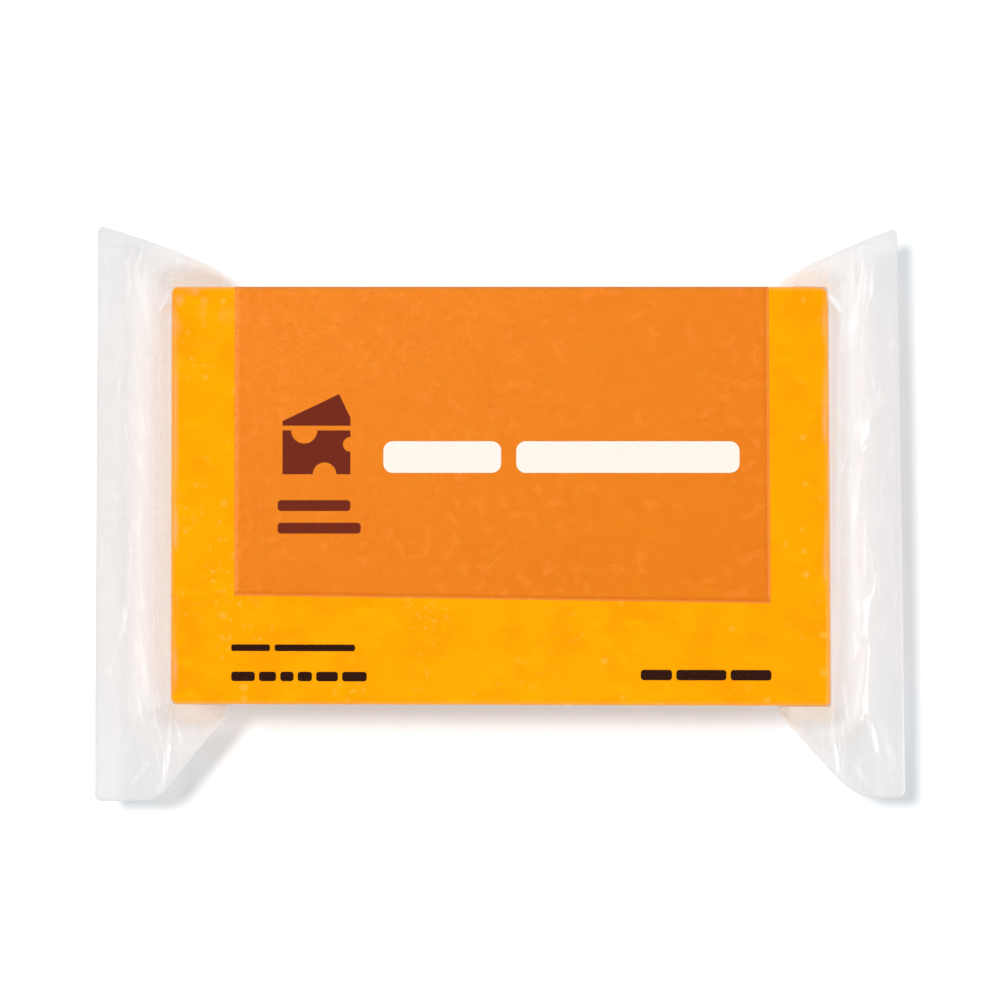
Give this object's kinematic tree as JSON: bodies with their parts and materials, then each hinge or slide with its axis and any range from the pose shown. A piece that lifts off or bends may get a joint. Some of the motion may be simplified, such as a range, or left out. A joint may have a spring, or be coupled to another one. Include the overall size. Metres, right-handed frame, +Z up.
{
  "type": "film-wrapped cheddar block",
  "caption": "Rectangular block of orange cheddar vacuum-sealed in clear film, with flat sealed fins and flared film ears at both ends; lies flat as a food prop.",
  "frame": {"origin": "centre of the block's underside, where the pack rests", "axes": "+X along the block's length, +Y towards the long side where the print panel folds over, +Z up through the shown face"},
  "size_m": [0.1741, 0.1239, 0.0335],
  "materials": {
    "cheese": "moist, slightly mottled cheddar under clinging film",
    "film": "clear, slightly hazy glossy film"
  },
  "bodies": {
    "root": {"cheese_block": "cheese", "film_end_left": "film", "film_end_right": "film"}
  },
  "joints": []
}
